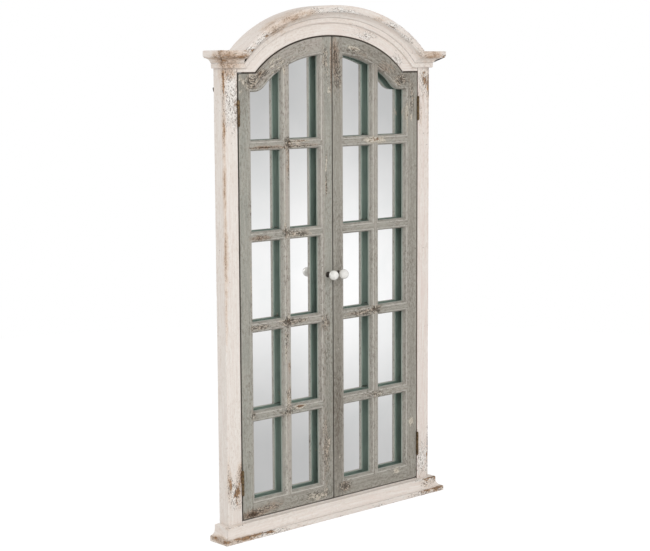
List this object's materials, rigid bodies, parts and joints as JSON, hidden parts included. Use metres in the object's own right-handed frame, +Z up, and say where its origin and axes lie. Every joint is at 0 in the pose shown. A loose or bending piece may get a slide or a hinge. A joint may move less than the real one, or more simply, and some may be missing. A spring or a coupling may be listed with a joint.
{
  "type": "wall mirror",
  "caption": "Wall mirror with a moulded arched crown and base, behind a pair of outward-opening arched doors of open glazing-bar lattice with ball knobs.",
  "frame": {"origin": "middle of the underside of the base, at half the depth of the frame", "axes": "+Z up, -Y out of the front with the doors, +X to the right of someone facing it"},
  "size_m": [0.751, 0.0753, 1.281],
  "materials": {
    "cream_paint": "chipped matt cream paint over pine",
    "sage_paint": "worn matt grey-green paint over pine",
    "mirror_glass": "clear silvered glass",
    "bare_wood": "bare board",
    "aged_brass": "dull aged",
    "dark_steel": "blackened",
    "white_ceramic": "glazed",
    "brown_plastic": "moulded"
  },
  "bodies": {
    "frame": {"frame_bottom_rail": "cream_paint", "head_board": "cream_paint", "crown_moulding": "cream_paint", "base_moulding_front": "cream_paint", "mirror_glass": "mirror_glass", "back_panel": "bare_wood", "door_stop": "bare_wood", "magnetic_catch": "brown_plastic", "frame_stile_left": "cream_paint", "cornice_front_left": "cream_paint", "cornice_return_left": "cream_paint", "base_return_left": "cream_paint", "hanger_strap_left": "dark_steel", "hanger_screw_left": "dark_steel", "hinge_lower_frame_leaf_left": "aged_brass", "hinge_lower_pin_left": "aged_brass", "hinge_upper_frame_leaf_left": "aged_brass", "hinge_upper_pin_left": "aged_brass", "frame_stile_right": "cream_paint", "cornice_front_right": "cream_paint", "cornice_return_right": "cream_paint", "base_return_right": "cream_paint", "hanger_strap_right": "dark_steel", "hanger_screw_right": "dark_steel", "hinge_lower_frame_leaf_right": "aged_brass", "hinge_lower_pin_right": "aged_brass", "hinge_upper_frame_leaf_right": "aged_brass", "hinge_upper_pin_right": "aged_brass"},
    "door_left": {"door_hinge_stile_left": "sage_paint", "door_meeting_stile_left": "sage_paint", "door_top_rail_left": "sage_paint", "door_bottom_rail_left": "sage_paint", "door_muntin_left": "sage_paint", "strike_plate_left": "dark_steel", "knob_ball_left": "white_ceramic", "knob_rose_left": "dark_steel", "knob_screw_left": "dark_steel", "door_cross_bar_1_left": "sage_paint", "door_cross_bar_2_left": "sage_paint", "door_cross_bar_3_left": "sage_paint", "door_cross_bar_4_left": "sage_paint", "hinge_lower_door_leaf_left": "aged_brass", "hinge_upper_door_leaf_left": "aged_brass"},
    "door_right": {"door_hinge_stile_right": "sage_paint", "door_meeting_stile_right": "sage_paint", "door_top_rail_right": "sage_paint", "door_bottom_rail_right": "sage_paint", "door_muntin_right": "sage_paint", "strike_plate_right": "dark_steel", "knob_ball_right": "white_ceramic", "knob_rose_right": "dark_steel", "knob_screw_right": "dark_steel", "door_cross_bar_1_right": "sage_paint", "door_cross_bar_2_right": "sage_paint", "door_cross_bar_3_right": "sage_paint", "door_cross_bar_4_right": "sage_paint", "hinge_lower_door_leaf_right": "aged_brass", "hinge_upper_door_leaf_right": "aged_brass"},
    "hanger_ring_left": {"hanger_ring_left": "dark_steel"},
    "hanger_ring_right": {"hanger_ring_right": "dark_steel"}
  },
  "joints": [
    {"name": "door_swing_left", "type": "hinge", "parent": "frame", "child": "door_left", "pos_m": [-0.30075, -0.0209, 0.043], "axis": [0, 0, -1], "range_deg": [0, 140]},
    {"name": "door_swing_right", "type": "hinge", "parent": "frame", "child": "door_right", "pos_m": [0.30075, -0.0209, 0.043], "axis": [0, 0, 1], "range_deg": [0, 140]},
    {"name": "hanger_ring_swivel_left", "type": "hinge", "parent": "frame", "child": "hanger_ring_left", "pos_m": [-0.3345, 0.02065, 1.084], "axis": [1, 0, 0], "range_deg": [0, 180]},
    {"name": "hanger_ring_swivel_right", "type": "hinge", "parent": "frame", "child": "hanger_ring_right", "pos_m": [0.3345, 0.02065, 1.084], "axis": [1, 0, 0], "range_deg": [0, 180]}
  ]
}
